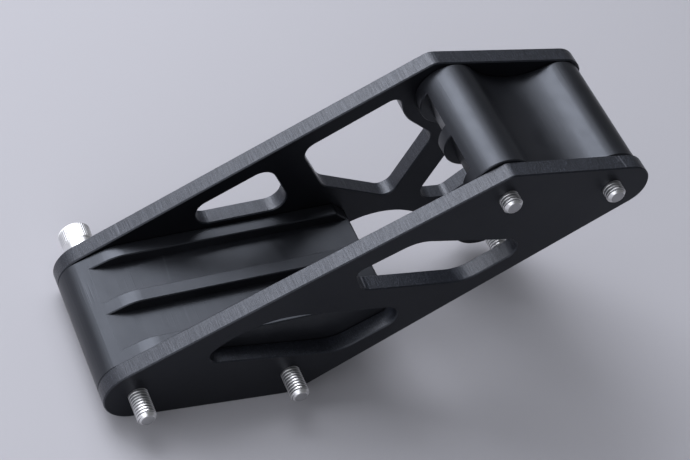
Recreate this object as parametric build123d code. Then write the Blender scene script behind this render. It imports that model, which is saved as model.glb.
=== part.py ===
from build123d import *
import math
import os

# Chain guide of two plates and two blocks, drawn from a point near the front lower screw.
# X runs along the guide, Y from the near plate to the far one, Z up. Millimetres.

# Widths across the guide
PLATE = 5.5
INNER_WIDTH = 40.0
TOTAL_WIDTH = INNER_WIDTH + 2 * PLATE
RIB_WIDTH = 4.5

# Screws, M6 from the far side: the upper two are countersunk, the lower two on spacers
FRONT_LOWER = (0.5, 0.0)
REAR_LOWER = (49.0, 0.0)
FRONT_UPPER = (99.0, 69.2)
REAR_UPPER = (134.6, 69.0)
MOUNT = (136.6, 5.6)
SHANK_RADIUS = 3.0
HEAD_RADIUS = 5.0
HEAD_HEIGHT = 6.0
SOCKET_FLATS = 5.0
SOCKET_DEPTH = 3.0
SPACER_LENGTH = 6.6
SPACER_BREAK = 0.1
LOWER_LENGTH = 67.0
UPPER_LENGTH = 55.0
MOUNT_LENGTH = 20.0
NECK_RADIUS = 2.7
NECK_LENGTH = 6.5
END_CHAMFER = 0.6
HEAD_CHAMFER = 0.5
SUNK_RADIUS = 6.0
SUNK_RIM = 0.3
SUNK_FLATS = 4.0
SUNK_DEPTH = 2.4

# Holes
TAPPED_RADIUS = 3.05
CLEARANCE_RADIUS = 3.3
SUNK_GAP = 0.03

# Plates
NOSE = (0.6, 0.1)
NOSE_RADIUS = 10.4
NEAR_TOP_ANGLE = 34.3
FAR_TOP_ANGLE = 36.3
BELLY_ANGLE = 38.36
EDGE_BREAK = 0.35
ARCH = (97.2, -9.1)
ARCH_RADIUS = 24.8
LUG_RADIUS = 11.4
CORNER_RADIUS = 8.3
FOOT_RADIUS = 3.0

# Lower block
FLOOR_ANGLE = 7.1
FLOOR_HEIGHT = 9.3
RIB_HEIGHT = 3.6
SKI_START = -3.5
SKI_ANGLE = 31.8
RAMP_BLEND = 7.0
LOWER_BLOCK_END = 80.2
BLOCK_BREAK = 0.3

# Upper block
HUMP_RADIUS = 10.0
REAR_HUMP = (136.8, 67.6)
REAR_HUMP_RADIUS = 9.7
SADDLE_RADIUS = 24.0
CHANNEL_CEILING = 62.8
CHANNEL_LIP = (89.7, 72.3)

# Further out than any outline goes
BEYOND = 250.0


def slab(outline, y_from, y_to):
    """Thickens an outline of the side view between two distances across the guide."""
    return extrude(Plane.XZ.offset(-y_to) * outline, amount=y_to - y_from)


def rod(at, radius, y_from, y_to):
    return slab(Pos(*at) * Circle(radius), y_from, y_to)


def rounded(*corners):
    """Polygon whose corners are x, z and the radius that rounds them."""
    face = Sketch() + make_face(Polyline(*[corner[:2] for corner in corners], close=True))
    for x, z, radius in corners:
        if radius:
            face = fillet(face.vertices().sort_by_distance((x, z))[0], radius)
    return face


def crossing(point, angle, other, other_angle):
    """Where two lines meet, each given by a point and its angle."""
    dx = math.cos(math.radians(angle))
    dz = math.sin(math.radians(angle))
    ox = math.cos(math.radians(other_angle))
    oz = math.sin(math.radians(other_angle))
    along = ((other[0] - point[0]) * oz - (other[1] - point[1]) * ox) / (dx * oz - dz * ox)
    return (point[0] + along * dx, point[1] + along * dz)


def on_circle(centre, radius, angle):
    turn = math.radians(angle)
    return (centre[0] + radius * math.cos(turn), centre[1] + radius * math.sin(turn))


def centre_touching(one, one_radius, two, two_radius, radius):
    """Centre above two circles of a third that touches both from outside."""
    gap = math.dist(one, two)
    reach_one = one_radius + radius
    reach_two = two_radius + radius
    along = (gap**2 + reach_one**2 - reach_two**2) / (2 * gap)
    height = math.sqrt(reach_one**2 - along**2)
    ux = (two[0] - one[0]) / gap
    uz = (two[1] - one[1]) / gap
    return (one[0] + along * ux - height * uz, one[1] + along * uz + height * ux)


def line_between(one, one_radius, two, two_radius):
    """Ends of the line that touches the upper side of one circle and the lower side of two."""
    heading = math.degrees(math.atan2(two[1] - one[1], two[0] - one[0]))
    lean = math.degrees(math.acos((one_radius + two_radius) / math.dist(one, two)))
    turn = heading + lean
    return on_circle(one, one_radius, turn), on_circle(two, two_radius, turn + 180)


def broken_slab(outline, y_from, y_to, edge_break):
    """Slab with every edge of its two faces broken."""
    body = slab(outline, y_from, y_to)
    return chamfer(body.faces().filter_by(Axis.Y).edges(), edge_break)


def countersink(at, radius, gap):
    """What a countersunk head of that radius fills of the far plate, and a gap round it."""
    rim = TOTAL_WIDTH - SUNK_RIM
    depth = radius - SHANK_RADIUS
    middle = Plane(origin=(at[0], rim - depth / 2, at[1]), z_dir=(0, 1, 0))
    return middle * Cone(SHANK_RADIUS + gap, radius + gap, depth) + rod(at, radius + gap, rim, TOTAL_WIDTH)


def drilled(body, places, radius):
    for at in places:
        body -= rod(at, radius, -1, TOTAL_WIDTH + SPACER_LENGTH + 1)
    return body


def ribs(outline):
    """Three ribs of one outline: against each plate and in the middle."""
    middle = TOTAL_WIDTH / 2
    starts = (PLATE, middle - RIB_WIDTH / 2, TOTAL_WIDTH - PLATE - RIB_WIDTH)
    return [broken_slab(outline, start, start + RIB_WIDTH, BLOCK_BREAK) for start in starts]


def shank(at, seat, length):
    body = rod(at, SHANK_RADIUS, seat - length, seat)
    rims = body.edges().filter_by(GeomType.CIRCLE).sort_by(Axis.Y)
    return chamfer(rims[0], END_CHAMFER)


def hexagon(at, flats, y_from, y_to):
    return slab(Pos(*at) * RegularPolygon(flats / 2, 6, major_radius=False), y_from, y_to)


def socket_screw(at, seat, length):
    """Screw whose head sits on seat, a distance across the guide."""
    top = seat + HEAD_HEIGHT
    head = rod(at, HEAD_RADIUS, seat, top)
    rims = head.edges().filter_by(GeomType.CIRCLE).sort_by(Axis.Y)
    head = chamfer(rims[-1], HEAD_CHAMFER)
    socket = hexagon(at, SOCKET_FLATS, top - SOCKET_DEPTH, top + 1)
    return shank(at, seat, length) + head - socket


def countersunk_screw(at, length):
    head = countersink(at, SUNK_RADIUS, 0)
    socket = hexagon(at, SUNK_FLATS, TOTAL_WIDTH - SUNK_DEPTH, TOTAL_WIDTH + 1)
    return shank(at, TOTAL_WIDTH, length) + head - socket


def spacer(at):
    """Tube between the far plate and a lower screw's head."""
    tube = rod(at, HEAD_RADIUS, TOTAL_WIDTH, TOTAL_WIDTH + SPACER_LENGTH)
    tube = chamfer(tube.edges().filter_by(GeomType.CIRCLE), SPACER_BREAK)
    return drilled(tube, (at,), CLEARANCE_RADIUS)


# Near plate: nose about the front screw, belly about the rear lower one
bottom = NOSE[1] - NOSE_RADIUS
near_top = on_circle(NOSE, NOSE_RADIUS, 90 + NEAR_TOP_ANGLE)
belly = on_circle(REAR_LOWER, NOSE_RADIUS, BELLY_ANGLE - 90)
near_nose = crossing(near_top, NEAR_TOP_ANGLE, (0, bottom), 0)
near_belly = crossing(belly, BELLY_ANGLE, (0, bottom), 0)
near_peak = crossing(near_top, NEAR_TOP_ANGLE, (100, 78.35), -2.1)
near_tail = crossing(belly, BELLY_ANGLE, (100, 78.35), -2.1)
near_outline = rounded(
    (*near_nose, NOSE_RADIUS),
    (*near_belly, NOSE_RADIUS),
    (*near_tail, CORNER_RADIUS),
    (*near_peak, 3.5),
)
near_lower_window = rounded(
    (16.2, 10.5, 3.5),
    (63.05, 7.4, 12.0),
    (87.37, 24.43, 4.66),
    (31.2, 27.8, 30.0),
)
near_upper_window = rounded(
    (57.9, 43.2, 2.5),
    (62.4, 35.15, 5.0),
    (97.2, 33.4, 12.0),
    (117.87, 49.07, 4.6),
    (74.67, 54.03, 12.0),
)
near_outline_cut = near_outline - near_lower_window - near_upper_window
near_side_plate = broken_slab(near_outline_cut, 0, PLATE, EDGE_BREAK)
all_four = (FRONT_LOWER, REAR_LOWER, FRONT_UPPER, REAR_UPPER)
near_side_plate = drilled(near_side_plate, all_four, TAPPED_RADIUS)

# Far plate: the same nose, an arch below, and a leg down to the mounting lug
far_top = on_circle(NOSE, NOSE_RADIUS, 90 + FAR_TOP_ANGLE)
far_nose = crossing(far_top, FAR_TOP_ANGLE, (0, bottom), 0)
far_peak = crossing(far_top, FAR_TOP_ANGLE, (100, 79.6), -2.9)
off_arch, onto_lug = line_between(ARCH, ARCH_RADIUS, MOUNT, LUG_RADIUS)
far_tail = crossing((146.6, 70), 91.5, (100, 79.6), -2.9)
leg = rounded(
    (*far_nose, NOSE_RADIUS),
    (ARCH[0], bottom, 0),
    (*ARCH, 0),
    (*off_arch, 0),
    (*onto_lug, 0),
    (*MOUNT, 0),
    (MOUNT[0] + LUG_RADIUS, MOUNT[1], 0),
    (*far_tail, CORNER_RADIUS),
    (*far_peak, 5.0),
)
far_outline = leg + Pos(*MOUNT) * Circle(LUG_RADIUS) - Pos(*ARCH) * Circle(ARCH_RADIUS)
foot = (ARCH[0] - math.sqrt(ARCH_RADIUS**2 - (bottom - ARCH[1]) ** 2), bottom)
far_outline = fillet(far_outline.vertices().sort_by_distance(foot)[0], FOOT_RADIUS)
far_triangle = rounded((15.1, 16.4, 5.0), (61.8, 22.9, 5.0), (48.9, 41.1, 5.0))
far_middle_window = rounded(
    (57.6, 46.9, 4.5),
    (69.45, 30.85, 6.0),
    (95.3, 22.8, 4.0),
    (102.04, 49.37, 4.5),
    (89.0, 57.8, 14.0),
    (84.4, 67.2, 3.0),
)
far_rear_window = rounded(
    (104.7, 20.0, 5.0),
    (117.0, 20.0, 3.0),
    (143.0, 49.5, 4.0),
    (112.6, 51.0, 4.0),
)
far_outline = far_outline - far_triangle - far_middle_window - far_rear_window
far_side_plate = broken_slab(far_outline, TOTAL_WIDTH - PLATE, TOTAL_WIDTH, EDGE_BREAK)
far_side_plate = drilled(far_side_plate, (*all_four, MOUNT), CLEARANCE_RADIUS)
for at in (FRONT_UPPER, REAR_UPPER):
    far_side_plate -= countersink(at, SUNK_RADIUS, SUNK_GAP)

# Lower block: the near plate's outline, cut by a ramp and then a sloping floor with ribs
ski_foot = crossing((0, FLOOR_HEIGHT), FLOOR_ANGLE, (SKI_START, 0), 90)
floor_end = crossing((0, FLOOR_HEIGHT), FLOOR_ANGLE, (LOWER_BLOCK_END, 0), 90)
under_floor = rounded(
    (*crossing(ski_foot, SKI_ANGLE, (0, -BEYOND), 0), 0),
    (*ski_foot, 0),
    (*floor_end, 0.6),
    (LOWER_BLOCK_END, -BEYOND, 0),
)
rib_line = (0.0, FLOOR_HEIGHT + RIB_HEIGHT)
ski_top = crossing(ski_foot, SKI_ANGLE, rib_line, FLOOR_ANGLE)
rib_back = crossing((75.1, 0), 90, rib_line, FLOOR_ANGLE)
lower_rib = rounded(
    (SKI_START, 0, 0),
    (*ski_foot, 0),
    (*ski_top, 15.0),
    (*rib_back, 1.5),
    (79.4, 19.2, 0),
    (79.4, 12.0, 0),
    (50.0, 0, 0),
)
lower_outline = near_outline & under_floor
under_ramp = lower_outline.vertices().sort_by_distance(on_circle(NOSE, NOSE_RADIUS, 139))[0]
lower_outline = fillet(under_ramp, RAMP_BLEND)
far_wall = PLATE + INNER_WIDTH
lower_guide_block = broken_slab(lower_outline, PLATE, far_wall, BLOCK_BREAK)
for rib in ribs(near_outline & lower_rib):
    lower_guide_block += rib
lower_guide_block = drilled(lower_guide_block, (FRONT_LOWER, REAR_LOWER), CLEARANCE_RADIUS)

# Upper block: two humps with a saddle between, and ribs under the channels
saddle = centre_touching(
    FRONT_UPPER, HUMP_RADIUS, REAR_HUMP, REAR_HUMP_RADIUS, SADDLE_RADIUS
)
underside = FRONT_UPPER[1] - HUMP_RADIUS
trunk = make_face(
    Polyline(
        FRONT_UPPER,
        saddle,
        REAR_HUMP,
        (REAR_HUMP[0], underside),
        (FRONT_UPPER[0], underside),
        close=True,
    )
)
humps = Pos(*FRONT_UPPER) * Circle(HUMP_RADIUS) + Pos(*REAR_HUMP) * Circle(REAR_HUMP_RADIUS)
upper_outline = humps + trunk - Pos(*saddle) * Circle(SADDLE_RADIUS)
above_belly = make_face(
    Polyline(
        (80, underside),
        crossing(belly, BELLY_ANGLE, (0, underside), 0),
        crossing(belly, BELLY_ANGLE, (BEYOND, 0), 90),
        (80, BEYOND),
        close=True,
    )
)
upper_rib = upper_outline & above_belly
above_channel = make_face(
    Polyline(
        crossing(CHANNEL_LIP, -60, (0, CHANNEL_CEILING), 0),
        (BEYOND, CHANNEL_CEILING),
        (BEYOND, BEYOND),
        (80, BEYOND),
        crossing(CHANNEL_LIP, -60, (80, 0), 90),
        close=True,
    )
)
upper_guide_block = broken_slab(upper_rib & above_channel, PLATE, far_wall, BLOCK_BREAK)
for rib in ribs(upper_rib):
    upper_guide_block += rib
upper_guide_block = drilled(upper_guide_block, (FRONT_UPPER, REAR_UPPER), CLEARANCE_RADIUS)

on_spacer = TOTAL_WIDTH + SPACER_LENGTH
mount_screw = socket_screw(MOUNT, TOTAL_WIDTH, MOUNT_LENGTH)
round_neck = rod(MOUNT, HEAD_RADIUS, TOTAL_WIDTH - NECK_LENGTH, TOTAL_WIDTH)
mount_screw -= round_neck - rod(MOUNT, NECK_RADIUS, TOTAL_WIDTH - NECK_LENGTH, TOTAL_WIDTH)

nodes = {
    "near_side_plate": near_side_plate,
    "far_side_plate": far_side_plate,
    "lower_guide_block": lower_guide_block,
    "upper_guide_block": upper_guide_block,
    "front_spacer": spacer(FRONT_LOWER),
    "rear_spacer": spacer(REAR_LOWER),
    "front_lower_screw": socket_screw(FRONT_LOWER, on_spacer, LOWER_LENGTH),
    "rear_lower_screw": socket_screw(REAR_LOWER, on_spacer, LOWER_LENGTH),
    "front_upper_screw": countersunk_screw(FRONT_UPPER, UPPER_LENGTH),
    "rear_upper_screw": countersunk_screw(REAR_UPPER, UPPER_LENGTH),
    "mount_screw": mount_screw,
}

# The origin goes to the middle of the underside of everything together
box = Compound(children=[copy_of.solid() for copy_of in nodes.values()]).bounding_box()
to_origin = Pos(-box.center().X, -box.center().Y, -box.min.Z)
print("moved by", -box.center().X, -box.center().Y, -box.min.Z, "size", box.size)
os.makedirs("parts", exist_ok=True)
for name, body in nodes.items():
    export_step(to_origin * body, f"parts/{name}.step")
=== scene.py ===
import math

import bpy
import numpy as np
from mathutils import Matrix, Vector


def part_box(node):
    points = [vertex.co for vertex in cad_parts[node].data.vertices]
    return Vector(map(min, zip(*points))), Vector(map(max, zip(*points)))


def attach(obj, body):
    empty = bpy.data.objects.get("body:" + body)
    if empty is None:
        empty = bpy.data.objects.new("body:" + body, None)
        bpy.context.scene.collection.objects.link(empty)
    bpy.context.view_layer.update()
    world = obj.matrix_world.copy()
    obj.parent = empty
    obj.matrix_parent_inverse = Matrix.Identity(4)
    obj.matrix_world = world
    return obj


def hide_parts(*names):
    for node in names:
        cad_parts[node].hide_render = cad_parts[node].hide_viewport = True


# Metres, in the CAD frame: +X along the guide, +Y towards the screw heads, +Z up

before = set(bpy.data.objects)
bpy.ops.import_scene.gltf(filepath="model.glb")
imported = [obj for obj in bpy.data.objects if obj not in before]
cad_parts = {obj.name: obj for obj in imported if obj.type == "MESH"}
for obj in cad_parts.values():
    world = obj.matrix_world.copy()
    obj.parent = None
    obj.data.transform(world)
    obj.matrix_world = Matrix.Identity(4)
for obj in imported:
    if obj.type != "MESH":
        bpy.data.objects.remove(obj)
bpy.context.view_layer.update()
print("frame loaded")

shot = {
    "place": (-0.261039, -0.333930, 0.440741),
    "forward": (0.448462, 0.573051, -0.685926),
    "roll": 21.9,  # degrees
    "lens": 101.22,  # millimetres, as the sensor
    "sensor": 36.0,
    "nearClip": 0.01,
}


def addCamera():
    # looks along the forward line, rolled about it
    camera = bpy.data.objects.new("camera", bpy.data.cameras.new("camera"))
    camera.data.lens = shot["lens"]
    camera.data.sensor_width = shot["sensor"]
    camera.data.clip_start = shot["nearClip"]
    look = Vector(shot["forward"]).to_track_quat("-Z", "Y").to_matrix()
    roll = Matrix.Rotation(math.radians(shot["roll"]), 3, "Z")
    camera.matrix_world = Matrix.Translation(shot["place"]) @ (look @ roll).to_4x4()
    bpy.context.scene.collection.objects.link(camera)
    bpy.context.scene.camera = camera


addCamera()
print("camera placed")


def newGroup(name, inputs, outputs):
    group = bpy.data.node_groups.new(name, "ShaderNodeTree")
    for label, kind, value in inputs:
        item = group.interface.new_socket(label, in_out="INPUT", socket_type=kind)
        item.default_value = value
    for label, kind in outputs:
        group.interface.new_socket(label, in_out="OUTPUT", socket_type=kind)
    return group, group.nodes.new("NodeGroupInput"), group.nodes.new("NodeGroupOutput")


def fill(tree, item, value):
    # a socket is linked, a plain value is set
    if isinstance(value, bpy.types.NodeSocket):
        tree.links.new(value, item)
    else:
        item.default_value = value


def calculate(tree, operation, first, second=0.0):
    node = tree.nodes.new("ShaderNodeMath")
    node.operation = operation
    fill(tree, node.inputs[0], first)
    fill(tree, node.inputs[1], second)
    return node.outputs[0]


def vectorMath(tree, operation, first, second, output=0):
    node = tree.nodes.new("ShaderNodeVectorMath")
    node.operation = operation
    fill(tree, node.inputs[0], first)
    fill(tree, node.inputs[1], second)
    return node.outputs[output]


def spread(tree, value, fromLow, fromHigh, low=0.0, high=1.0):
    # carries a value from one range to another, held at both ends
    node = tree.nodes.new("ShaderNodeMapRange")
    fill(tree, node.inputs["Value"], value)
    fill(tree, node.inputs["From Min"], fromLow)
    fill(tree, node.inputs["From Max"], fromHigh)
    fill(tree, node.inputs["To Min"], low)
    fill(tree, node.inputs["To Max"], high)
    return node.outputs["Result"]


def mixColour(tree, factor, low, high):
    # a Mix node keeps its colour sockets at 6 and 7 going in and at 2 coming out
    node = tree.nodes.new("ShaderNodeMix")
    node.data_type = "RGBA"
    fill(tree, node.inputs[0], factor)
    fill(tree, node.inputs[6], low)
    fill(tree, node.inputs[7], high)
    return node.outputs[2]


def shaded(colour, share):
    # red, green and blue each times the share
    return tuple(channel * share for channel in colour[:3]) + (1,)


def addBump(tree, height, strength, distance, under=None):
    node = tree.nodes.new("ShaderNodeBump")
    node.inputs["Strength"].default_value = strength
    node.inputs["Distance"].default_value = distance
    tree.links.new(height, node.inputs["Height"])
    if under is not None:
        tree.links.new(under, node.inputs["Normal"])
    return node.outputs["Normal"]


def stretchedNoiseGroup():
    # noise of the object's own place, with a size along each axis, spread from 0 to 1
    group, start, end = newGroup(
        "stretchedNoise",
        [
            ("Size", "NodeSocketVector", (0.001, 0.001, 0.001)),
            ("Detail", "NodeSocketFloat", 3.0),
            ("Low", "NodeSocketFloat", 0.3),
            ("High", "NodeSocketFloat", 0.7),
        ],
        [("Value", "NodeSocketFloat")],
    )
    place = group.nodes.new("ShaderNodeTexCoord").outputs["Object"]
    noise = group.nodes.new("ShaderNodeTexNoise")
    noise.inputs["Scale"].default_value = 1.0
    fill(group, noise.inputs["Vector"], vectorMath(group, "DIVIDE", place, start.outputs["Size"]))
    fill(group, noise.inputs["Detail"], start.outputs["Detail"])
    value = spread(group, noise.outputs["Fac"], start.outputs["Low"], start.outputs["High"])
    fill(group, end.inputs["Value"], value)
    return group


def nickGroup():
    # 1 along a short line from one place to another, fading to 0 at its width:
    # 1 - distance to the line's nearest point / width
    group, start, end = newGroup(
        "nick",
        [
            ("From", "NodeSocketVector", (0, 0, 0)),
            ("To", "NodeSocketVector", (0, 0, 0.01)),
            ("Width", "NodeSocketFloat", 0.0005),
        ],
        [("Mask", "NodeSocketFloat")],
    )
    place = group.nodes.new("ShaderNodeTexCoord").outputs["Object"]
    line = vectorMath(group, "SUBTRACT", start.outputs["To"], start.outputs["From"])
    reach = vectorMath(group, "SUBTRACT", place, start.outputs["From"])
    along = vectorMath(group, "DOT_PRODUCT", reach, line, "Value")
    whole = vectorMath(group, "DOT_PRODUCT", line, line, "Value")
    share = calculate(group, "MAXIMUM", calculate(group, "DIVIDE", along, whole))
    share = calculate(group, "MINIMUM", share, 1.0)
    nearest = group.nodes.new("ShaderNodeVectorMath")
    nearest.operation = "SCALE"
    fill(group, nearest.inputs[0], line)
    fill(group, nearest.inputs["Scale"], share)
    off = vectorMath(group, "DISTANCE", reach, nearest.outputs[0], "Value")
    fill(group, end.inputs["Mask"], spread(group, off, start.outputs["Width"], 0.0))
    return group


noiseGroup = stretchedNoiseGroup()
lineGroup = nickGroup()


def addNoise(tree, size, detail, low=0.3, high=0.7):
    # low and high are the noise's values that become 0 and 1
    node = tree.nodes.new("ShaderNodeGroup")
    node.node_tree = noiseGroup
    node.inputs["Size"].default_value = size
    node.inputs["Detail"].default_value = detail
    node.inputs["Low"].default_value = low
    node.inputs["High"].default_value = high
    return node.outputs["Value"]


def addNicks(tree, nicks):
    # all the nicks of a material in one mask; each has its two ends, its width and its depth
    mask = 0.0
    for start, end, width, depth in nicks:
        node = tree.nodes.new("ShaderNodeGroup")
        node.node_tree = lineGroup
        node.inputs["From"].default_value = start
        node.inputs["To"].default_value = end
        node.inputs["Width"].default_value = width
        nick = calculate(tree, "MULTIPLY", node.outputs["Mask"], depth)
        mask = calculate(tree, "MAXIMUM", nick, mask)
    return mask


def newMaterial(name):
    material = bpy.data.materials.new(name)
    material.use_nodes = True
    tree = material.node_tree
    tree.nodes.clear()
    shader = tree.nodes.new("ShaderNodeBsdfPrincipled")
    output = tree.nodes.new("ShaderNodeOutputMaterial")
    tree.links.new(shader.outputs["BSDF"], output.inputs["Surface"])
    return material, tree, shader


def paint(piece, material):
    piece.data.materials.clear()
    piece.data.materials.append(material)


# Black anodised plates: smooth faces, and milled edges with flecks, nicks and crosswise marks
plates = {
    "nodes": ("near_side_plate", "far_side_plate"),
    "faceColour": (0.0018, 0.0018, 0.0024, 1),
    "paleFace": 1.3,  # the face's colour times this in its clouds
    "edgeColour": (0.0080, 0.0088, 0.0120, 1),
    "markShade": 0.4,  # painted shade: the edge's colour times this between the marks, in the low parts of the milled relief
    "fleckColour": (0.034, 0.039, 0.052, 1),
    "nickColour": (0.085, 0.088, 0.098, 1),
    "gloss": 0.34,
    "glossTint": (0.76, 0.84, 1.0, 1),
    "edgeCoat": 0.56,
    "coatWear": 0.2,  # share of the coat that comes and goes with the marks
    "coatRoughness": 0.36,
    "faceRoughness": 0.44,
    "edgeRoughness": 0.40,
    "cutterWear": 0.09,  # how much the roughness changes from mark to mark
    "cloudWear": 0.03,  # how far the roughness goes up and down with the clouds
    "wallTilt": (0.92, 0.60),  # the normal's part along Y where a flat face ends and a wall begins
    "marks": {"size": (0.00034, 0.0060, 0.00034), "detail": 3.0, "low": 0.32, "high": 0.68},
    "speckle": {"size": (0.00045, 0.00060, 0.00045), "detail": 2.0, "low": 0.35, "high": 0.65},
    "markShare": 0.7,  # of the milled relief, the rest is speckle
    "milledRange": (0.2, 0.8),  # the milled relief over which roughness and coat change
    "fleck": {"size": (0.00030, 0.00036, 0.00030), "detail": 1.0, "low": 0.56, "high": 0.72},
    "fleckHeight": 0.5,  # beside 1 for the milled relief
    "grain": {"size": (0.00022, 0.00022, 0.00022), "detail": 2.0},
    "cloud": {"size": (0.016, 0.016, 0.016), "detail": 3.0, "low": 0.35, "high": 0.65},
    "grainBump": (0.35, 0.00002),  # strength and depth
    "cutterBump": (0.8, 0.00009),
    "nicks": (
        ((-0.06281, 0.02346, 0.02748), (-0.06275, 0.01975, 0.02753), 0.0004, 0.8),
        ((0.06702, -0.02150, 0.08745), (0.06745, -0.02640, 0.08735), 0.0004, 0.9),
        ((0.06590, -0.02170, 0.08750), (0.06610, -0.02420, 0.08748), 0.0003, 0.7),
        ((-0.00505, -0.02130, 0.04550), (-0.00546, -0.02606, 0.04564), 0.0005, 1.0),
    ),
}


def wallMask(tree):
    # 1 on the cut edges and window walls of a plate, 0 on its two flat faces
    place = tree.nodes.new("ShaderNodeTexCoord")
    parts = tree.nodes.new("ShaderNodeSeparateXYZ")
    tree.links.new(place.outputs["Normal"], parts.inputs[0])
    return spread(tree, calculate(tree, "ABSOLUTE", parts.outputs["Y"]), *plates["wallTilt"])


def plateMaterial():
    material, tree, shader = newMaterial("blackAnodised")
    walls = wallMask(tree)
    marks = addNoise(tree, **plates["marks"])
    speckle = addNoise(tree, **plates["speckle"])
    flecks = addNoise(tree, **plates["fleck"])
    grain = addNoise(tree, **plates["grain"])
    cloud = addNoise(tree, **plates["cloud"])
    nicks = addNicks(tree, plates["nicks"])
    cutter = calculate(tree, "MULTIPLY", marks, plates["markShare"])
    spots = calculate(tree, "MULTIPLY", speckle, 1 - plates["markShare"])
    milled = calculate(tree, "ADD", cutter, spots)

    markShadeColour = shaded(plates["edgeColour"], plates["markShade"])
    pale = shaded(plates["faceColour"], plates["paleFace"])
    # painted shade: the edges are darker where the milled relief is low
    edge = mixColour(tree, milled, markShadeColour, plates["edgeColour"])
    edge = mixColour(tree, flecks, edge, plates["fleckColour"])
    face = mixColour(tree, cloud, plates["faceColour"], pale)
    colour = mixColour(tree, walls, face, edge)
    fill(tree, shader.inputs["Base Color"], mixColour(tree, nicks, colour, plates["nickColour"]))

    level = spread(tree, walls, 0, 1, plates["faceRoughness"], plates["edgeRoughness"])
    half = plates["cutterWear"] / 2
    worn = calculate(tree, "MULTIPLY", spread(tree, milled, *plates["milledRange"], half, -half), walls)
    drift = spread(tree, cloud, 0, 1, -plates["cloudWear"], plates["cloudWear"])
    wear = calculate(tree, "ADD", drift, worn)
    fill(tree, shader.inputs["Roughness"], calculate(tree, "ADD", level, wear))
    shader.inputs["Specular IOR Level"].default_value = plates["gloss"]
    shader.inputs["Specular Tint"].default_value = plates["glossTint"]

    thin = plates["edgeCoat"] * (1 - plates["coatWear"])
    thick = plates["edgeCoat"] * (1 + plates["coatWear"])
    coat = spread(tree, milled, *plates["milledRange"], thin, thick)
    fill(tree, shader.inputs["Coat Weight"], calculate(tree, "MULTIPLY", coat, walls))
    shader.inputs["Coat Roughness"].default_value = plates["coatRoughness"]

    relief = calculate(tree, "ADD", milled, calculate(tree, "MULTIPLY", flecks, plates["fleckHeight"]))
    relief = calculate(tree, "MULTIPLY", relief, walls)
    fine = addBump(tree, grain, *plates["grainBump"])
    fill(tree, shader.inputs["Normal"], addBump(tree, relief, *plates["cutterBump"], fine))
    return material


# Black satin plastic blocks: flow marks and scratches that run along Y, a nick and two mould lines
blocks = {
    "nodes": ("lower_guide_block", "upper_guide_block"),
    "colour": (0.0052, 0.0055, 0.0068, 1),
    "paleColour": (0.0085, 0.0089, 0.0107, 1),
    "nickColour": (0.11, 0.11, 0.12, 1),
    "gloss": 0.55,
    "glossTint": (0.84, 0.90, 1.0, 1),
    "roughness": 0.33,
    "flowWear": (-0.01, 0.04),  # what the flow marks add to the roughness, least and most
    "blotchWear": (-0.02, 0.03),  # and the blotches
    "flow": {"size": (0.0035, 0.030, 0.0035), "detail": 3.0, "low": 0.35, "high": 0.65},
    "blotch": {"size": (0.0040, 0.0060, 0.0040), "detail": 4.0, "low": 0.35, "high": 0.65},
    "cloud": {"size": (0.020, 0.020, 0.020), "detail": 4.0, "low": 0.35, "high": 0.65},
    "scratch": {"size": (0.00035, 0.016, 0.00035), "detail": 1.0, "low": 0.60, "high": 0.80},
    "grain": {"size": (0.00012, 0.00012, 0.00012), "detail": 1.0},
    "flowBump": (0.15, 0.00004),  # strength and depth
    "scratchBump": (0.7, 0.00003),
    "grainBump": (0.10, 0.00001),
    "nicks": (
        ((-0.04851, 0.0030, 0.02216), (-0.04875, 0.0012, 0.0222), 0.0003, 0.6),
        ((-0.04960, 0.0135, 0.02203), (-0.05054, 0.00422, 0.02191), 0.0005, 0.16),
        ((-0.04984, -0.00658, 0.0220), (-0.04996, -0.01236, 0.02198), 0.0005, 0.16),
    ),
}


def blockMaterial():
    material, tree, shader = newMaterial("blackPlastic")
    flow = addNoise(tree, **blocks["flow"])
    blotch = addNoise(tree, **blocks["blotch"])
    cloud = addNoise(tree, **blocks["cloud"])
    scratches = addNoise(tree, **blocks["scratch"])
    grain = addNoise(tree, **blocks["grain"])
    nicks = addNicks(tree, blocks["nicks"])
    colour = mixColour(tree, cloud, blocks["colour"], blocks["paleColour"])
    fill(tree, shader.inputs["Base Color"], mixColour(tree, nicks, colour, blocks["nickColour"]))

    least, most = (blocks["roughness"] + wear for wear in blocks["flowWear"])
    level = spread(tree, flow, 0, 1, least, most)
    wear = spread(tree, blotch, 0, 1, *blocks["blotchWear"])
    fill(tree, shader.inputs["Roughness"], calculate(tree, "ADD", level, wear))
    shader.inputs["Specular IOR Level"].default_value = blocks["gloss"]
    shader.inputs["Specular Tint"].default_value = blocks["glossTint"]

    soft = addBump(tree, flow, *blocks["flowBump"])
    scratched = calculate(tree, "MULTIPLY", scratches, cloud)
    scratched = addBump(tree, scratched, *blocks["scratchBump"], soft)
    fill(tree, shader.inputs["Normal"], addBump(tree, grain, *blocks["grainBump"], scratched))
    return material


for look, material in ((plates, plateMaterial()), (blocks, blockMaterial())):
    for name in look["nodes"]:
        paint(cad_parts[name], material)
print("plates and blocks painted")
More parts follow.
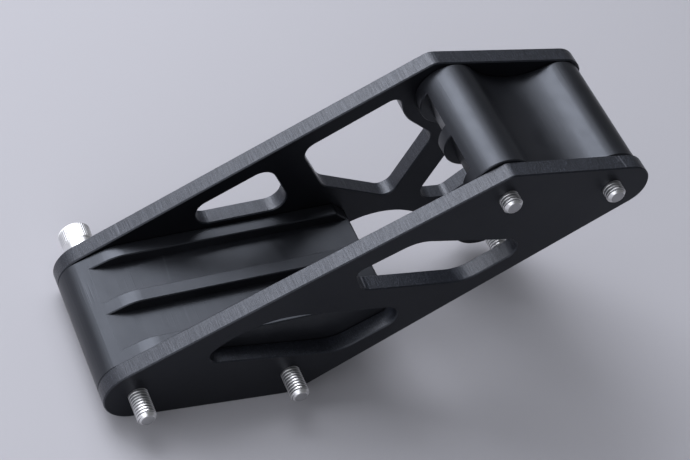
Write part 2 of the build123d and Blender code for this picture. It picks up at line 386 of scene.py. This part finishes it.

# Zinc plated screws and spacers; shade is painted darker into the thread and knurl grooves and the
# sockets, and the sawn end is dull
screws = {
    "spacers": ("front_spacer", "rear_spacer"),
    "heads": {
        "front_lower_screw": "socket",
        "rear_lower_screw": "socket",
        "front_upper_screw": "sunk",
        "rear_upper_screw": "sunk",
        "mount_screw": "socket",
    },
    "necks": {"mount_screw": 0.0065},  # length of a thinner neck under the head
    "neckRadius": 0.0027,
    "colour": (0.92, 0.915, 0.90, 1),
    "cloudColour": (0.80, 0.80, 0.80, 1),
    # painted shade in the grooves and sockets, and the dull colour of the sawn end
    "shadeAndDullColour": (0.30, 0.30, 0.31, 1),
    "roughness": 0.30,
    "dullRoughness": 0.50,
    "cloudWear": 0.05,  # added to the roughness where the cloud colour shows
    "cloud": {"size": (0.003, 0.003, 0.003), "detail": 3.0, "low": 0.25, "high": 0.75},
    "grain": {"size": (0.0002, 0.0002, 0.0002), "detail": 1.0},
    "grainBump": (0.05, 0.00001),  # strength and depth
    "sawnDull": 0.8,  # the sawn end's real dullness in the shade-and-dull attribute, from 0 for bright to 1 for darkest
    # painted shade in the socket
    "socketShade": 0.6,
    # painted shade in the knurl's grooves
    "knurlShade": 0.6,
    "grooveShade": (1.6, 0.2),  # painted shade: times the depth down a thread's groove, less the second
    "shankColumns": 112,
    "headColumns": 360,
    "shankRadius": 0.003,
    "plainRadius": 0.00293,
    "threadLength": 0.024,
    "pitch": 0.001,
    "threadDepth": 0.00052,
    "crest": 0.48,  # share of the pitch that the crest takes
    "root": 0.12,  # share of the pitch that the bottom of the groove takes
    "runout": 1.5,  # pitches over which the thread ends
    "samplesPerPitch": 18,
    "endChamfer": 0.0008,
    "soft": 0.00005,  # how far every sharp corner is rounded
    "intoHead": 0.0004,  # how far the shank reaches into the head
    "headRadius": 0.005,
    "headHeight": 0.006,
    "headChamfer": 0.0005,
    "cornerPoints": (0.15, 0.5),  # where the rounded corner's points lie, as shares of the chamfer
    "knurlBand": (0.0005, 0.0055),
    "knurlRun": 0.0004,  # over which the knurl comes in at each end of the band
    "knurlTeeth": 45,
    "knurlDepth": 0.00013,
    "knurlCrest": 0.35,  # share of a tooth that stays at the head's radius
    "socketFlats": 0.005,
    "socketDepth": 0.003,
    "bevelWidth": 0.00022,  # of the bevel round a socket
    "bevelDepth": 0.0002,
    "drillRadius": 0.42,  # of the cone at the socket's floor, as shares of the flats
    "drillTip": 0.05,
    "drillDepth": 0.0006,
    "sunkRadius": 0.006,
    "sunkRim": 0.0003,
    "sunkFlats": 0.004,
    "sunkDepth": 0.0024,
}


def screwMaterial():
    material, tree, shader = newMaterial("brightZinc")
    cloud = addNoise(tree, **screws["cloud"])
    grain = addNoise(tree, **screws["grain"])
    # the shade-and-dull attribute paints shade into the grooves and sockets and dulls the sawn end
    shadeAndDull = tree.nodes.new("ShaderNodeAttribute")
    shadeAndDull.attribute_name = "shadeAndDull"
    shadeAndDullShare = shadeAndDull.outputs["Fac"]
    bright = mixColour(tree, cloud, screws["cloudColour"], screws["colour"])
    fill(tree, shader.inputs["Base Color"], mixColour(tree, shadeAndDullShare, bright, screws["shadeAndDullColour"]))
    level = spread(tree, shadeAndDullShare, 0, 1, screws["roughness"], screws["dullRoughness"])
    wear = spread(tree, cloud, 0, 1, screws["cloudWear"], 0)
    fill(tree, shader.inputs["Roughness"], calculate(tree, "ADD", level, wear))
    shader.inputs["Metallic"].default_value = 1.0
    fill(tree, shader.inputs["Normal"], addBump(tree, grain, *screws["grainBump"]))
    return material


def wave(value):
    # triangle wave from 0 to 1 and back over each whole number
    return 1 - np.abs(2 * (value - np.floor(value)) - 1)


def rings(columns, profile, shadeAndDull=0.0):
    # radius, height and dullness of each ring; a radius may be one number or one for each column
    radii = np.array([np.broadcast_to(radius, columns) for radius, _ in profile])
    height = np.repeat(np.array([[height] for _, height in profile]), columns, axis=1)
    return radii, height, np.full(radii.shape, shadeAndDull)


def threadRings(tip, end):
    # radius = shank radius less the thread's groove, which winds once round for each pitch;
    # it is held under a 45 degree cone at the tip, and drops to the plain shank at the other end
    rows = int(round((end - tip) / screws["pitch"] * screws["samplesPerPitch"])) + 1
    height = np.linspace(tip, end, rows)[:, None]
    turn = np.arange(screws["shankColumns"])[None, :] / screws["shankColumns"]
    flank = 1 - screws["root"] - screws["crest"]
    slope = (wave(height / screws["pitch"] - turn) - screws["crest"]) / flank
    fade = np.clip((end - height) / (screws["runout"] * screws["pitch"]), 0, 1)
    radius = screws["shankRadius"] - screws["threadDepth"] * np.clip(slope, 0, 1) * fade
    cone = screws["shankRadius"] - screws["endChamfer"] + (height - tip)
    plain = screws["shankRadius"] + (screws["plainRadius"] - screws["shankRadius"]) * (1 - fade)
    radii = np.minimum(np.minimum(radius, cone), plain)
    gain, start = screws["grooveShade"]
    # painted shade, darker the deeper down a thread's groove
    shadeAndDull = np.where(cone < radius, 0, np.clip(slope * gain - start, 0, 1) * fade)
    return radii, np.broadcast_to(height, radii.shape), shadeAndDull


def hexagonRadius(flats):
    # half the flats over the cosine of the turn from the nearest flat's middle, for each column
    sector = math.pi / 3
    turn = np.arange(screws["headColumns"]) * 2 * math.pi / screws["headColumns"]
    return flats / 2 / np.cos((turn + sector / 2) % sector - sector / 2)


def socketRings(top, flats, depth, limit):
    # from the flat top over a small bevel down the hexagon to its drilled cone
    soft, columns = screws["soft"], screws["headColumns"]
    hexagon = hexagonRadius(flats)
    floor = top - depth
    bevel = rings(columns, [
        (limit, top),
        (np.minimum(hexagon + screws["bevelWidth"], limit - soft), top),
        (hexagon, top - screws["bevelDepth"]),
    ])
    # the hole is painted darker as shade
    hole = rings(columns, [
        (hexagon, floor + soft),
        (hexagon - soft, floor),
        (flats * screws["drillRadius"], floor - soft),
        (flats * screws["drillTip"], floor - screws["drillDepth"]),
    ], screws["socketShade"])
    return [bevel, hole]


def knurledSide(under):
    # radius = head radius less the knurl's depth times a triangle wave with its crests cut flat
    radius, run, crest = screws["headRadius"], screws["knurlRun"], screws["knurlCrest"]
    low, high = (under + value for value in screws["knurlBand"])
    columns = screws["headColumns"]
    band = [(radius, low), (radius, low + run), (radius, high - run), (radius, high)]
    radii, height, _ = rings(columns, band)
    teeth = screws["knurlTeeth"] * np.arange(columns)[None, :] / columns
    strength = np.array([[0], [1], [1], [0]])
    groove = np.clip((wave(teeth) - crest) / (1 - crest), 0, 1) * strength
    # painted shade, darker down the knurl's grooves
    return radii - screws["knurlDepth"] * groove, height, groove * screws["knurlShade"]


def knurledHead(under, top):
    # a flat seat with a rounded edge, the knurled side, a rounded corner and the socket
    radius, soft, rim = screws["headRadius"], screws["soft"], screws["headChamfer"]
    near, far = (rim * share for share in screws["cornerPoints"])
    columns = screws["headColumns"]
    seat = rings(columns, [
        (screws["plainRadius"] / 2, under),
        (radius - 4 * soft, under),
        (radius - soft, under + soft),
        (radius, under + 4 * soft),
    ])
    corner = rings(columns, [
        (radius, top - rim),
        (radius - near, top - far),
        (radius - far, top - near),
        (radius - rim, top),
    ])
    socket = socketRings(top, screws["socketFlats"], screws["socketDepth"], radius - rim - soft)
    return [seat, knurledSide(under), corner] + socket


def sunkHead(under, top):
    # radius grows as fast as the height up the cone, then stays the same over a narrow rim
    radius, soft, rim = screws["sunkRadius"], screws["soft"], screws["sunkRim"]
    cone = rings(screws["headColumns"], [
        (screws["plainRadius"] / 2, under),
        (screws["shankRadius"], under + soft),
        (radius - soft, top - rim - soft),
        (radius, top - rim + soft),
        (radius, top - 2 * soft),
        (radius - 2 * soft, top),
    ])
    return [cone] + socketRings(top, screws["sunkFlats"], screws["sunkDepth"], radius - 4 * soft)


def threadedShank(tip, under, neck):
    # from the sawn end up the thread and the plain shank or neck, and a little way into the head
    soft, columns, plain = screws["soft"], screws["shankColumns"], screws["plainRadius"]
    end = screws["shankRadius"] - screws["endChamfer"]
    threadEnd = min(tip + screws["threadLength"], under - neck)
    inside = under + screws["intoHead"]
    sawn = rings(columns, [(end / 2, tip), (end - 5 * soft, tip)], screws["sawnDull"])
    corner = rings(columns, [(end - 3 * soft, tip + soft), (end - soft, tip + 2 * soft)])
    parts = [sawn, corner, threadRings(tip + 3 * soft, threadEnd)]
    if neck:
        inner = screws["neckRadius"]
        parts.append(rings(columns, [(inner + soft, threadEnd + soft), (inner, threadEnd + 3 * soft)]))
        parts.append(rings(columns, [(inner, under - soft), (inner, inside)]))
    else:
        parts.append(rings(columns, [(plain, threadEnd + soft), (plain, inside)]))
    return parts


def turnedShell(parts, centre, first):
    # a closed shell about the screw's line: x = centre + radius times the turn's cosine,
    # z = centre + radius times its sine; quads between the rings and a flat face at each end
    radii, height, shadeAndDull = (np.vstack([part[index] for part in parts]) for index in range(3))
    rows, columns = radii.shape
    turn = np.arange(columns) * 2 * math.pi / columns
    x = centre[0] + radii * np.cos(turn)
    z = centre[1] + radii * np.sin(turn)
    points = np.stack([x, height, z], -1).reshape(-1, 3)
    row, column = np.meshgrid(np.arange(rows - 1), np.arange(columns), indexing="ij")
    after = (column + 1) % columns
    ring, nextRing = row * columns, (row + 1) * columns
    corners = [ring + column, nextRing + column, nextRing + after, ring + after]
    faces = (np.stack(corners, -1).reshape(-1, 4) + first).tolist()
    last = first + rows * columns
    faces.append(list(range(first, first + columns)))
    faces.append(list(range(last - 1, last - columns - 1, -1)))
    return points, faces, shadeAndDull.ravel()


def screwPiece(node):
    # two closed shells in one piece: the threaded shank, which reaches into the head, and the head
    low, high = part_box(node)
    centre = ((low[0] + high[0]) / 2, (low[2] + high[2]) / 2)
    tip, top = low[1], high[1]
    if screws["heads"][node] == "socket":
        under = top - screws["headHeight"]
        head = knurledHead(under, top)
    else:
        under = top - screws["sunkRim"] - (screws["sunkRadius"] - screws["shankRadius"])
        head = sunkHead(under, top)
    shank = threadedShank(tip, under, screws["necks"].get(node, 0))
    shankPoints, shankFaces, shankShadeAndDull = turnedShell(shank, centre, 0)
    headPoints, headFaces, headShade = turnedShell(head, centre, len(shankPoints))
    mesh = bpy.data.meshes.new(node + "Mesh")
    mesh.from_pydata(np.vstack([shankPoints, headPoints]).tolist(), [], shankFaces + headFaces)
    shadeAndDull = mesh.attributes.new("shadeAndDull", "FLOAT", "POINT")
    shadeAndDull.data.foreach_set("value", np.concatenate([shankShadeAndDull, headShade]))
    mesh.shade_smooth()
    piece = bpy.data.objects.new(node + "Threaded", mesh)
    bpy.context.scene.collection.objects.link(piece)
    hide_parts(node)
    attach(piece, "root")
    return piece


zinc = screwMaterial()
for name in screws["heads"]:
    paint(screwPiece(name), zinc)
for name in screws["spacers"]:
    paint(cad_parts[name], zinc)
print("screws turned, spacers painted")

floorLook = {
    "colour": (0.43, 0.425, 0.443, 1),
    "roughness": 0.9,
    "gloss": 0.1,
    "size": 6.0,
    "below": 0.00005,  # a hair under the part, so that the two don't share a plane
}


def addFloor():
    half, level = floorLook["size"] / 2, -floorLook["below"]
    # one flat square under the part
    corners = [(-half, -half, level), (half, -half, level), (half, half, level), (-half, half, level)]
    mesh = bpy.data.meshes.new("floorMesh")
    mesh.from_pydata(corners, [], [(0, 1, 2, 3)])
    floor = bpy.data.objects.new("floor", mesh)
    bpy.context.scene.collection.objects.link(floor)
    material, _, shader = newMaterial("paleSheet")
    shader.inputs["Base Color"].default_value = floorLook["colour"]
    shader.inputs["Roughness"].default_value = floorLook["roughness"]
    shader.inputs["Specular IOR Level"].default_value = floorLook["gloss"]
    paint(floor, material)


lamps = {
    # turn is the heading of the lamp seen from the part, rise its height, both in degrees
    "mainSoftbox": {"turn": 114, "rise": 48, "far": 1.0, "size": (0.62, 0.62), "power": 6.8},
    "wideSoftbox": {"turn": 113, "rise": 48, "far": 1.05, "size": (1.45, 1.45), "power": 12.2},
    "leftSoftbox": {"turn": 156, "rise": 14, "far": 1.0, "size": (0.6, 0.45), "power": 0.55},
    "frontSoftbox": {"turn": 212, "rise": 27, "far": 1.1, "size": (2.0, 0.9), "power": 9.5},
}
studio = {
    "lampColour": (0.90, 0.92, 1.0),
    "lampAim": (0, 0, 0.04),
    "glowColour": (0.80, 0.82, 0.88, 1),
    "glowStrength": 0.16,
}


def addLamp(name, plan):
    # stands away from the aim along its turn and rise, and faces it
    light = bpy.data.lights.new(name, "AREA")
    light.shape = "RECTANGLE"
    light.size, light.size_y = plan["size"]
    light.energy = plan["power"]
    light.color = studio["lampColour"]
    lamp = bpy.data.objects.new(name, light)
    turn, rise = math.radians(plan["turn"]), math.radians(plan["rise"])
    away = Vector((math.cos(rise) * math.cos(turn), math.cos(rise) * math.sin(turn), math.sin(rise)))
    lamp.location = Vector(studio["lampAim"]) + away * plan["far"]
    lamp.rotation_euler = (-away).to_track_quat("-Z", "Y").to_euler()
    bpy.context.scene.collection.objects.link(lamp)


def addWorld():
    world = bpy.data.worlds.new("studio")
    world.use_nodes = True
    background = world.node_tree.nodes["Background"]
    background.inputs["Color"].default_value = studio["glowColour"]
    background.inputs["Strength"].default_value = studio["glowStrength"]
    bpy.context.scene.world = world


addFloor()
for name, plan in lamps.items():
    addLamp(name, plan)
addWorld()
bpy.context.scene.view_settings.view_transform = "Standard"
print("stage set")
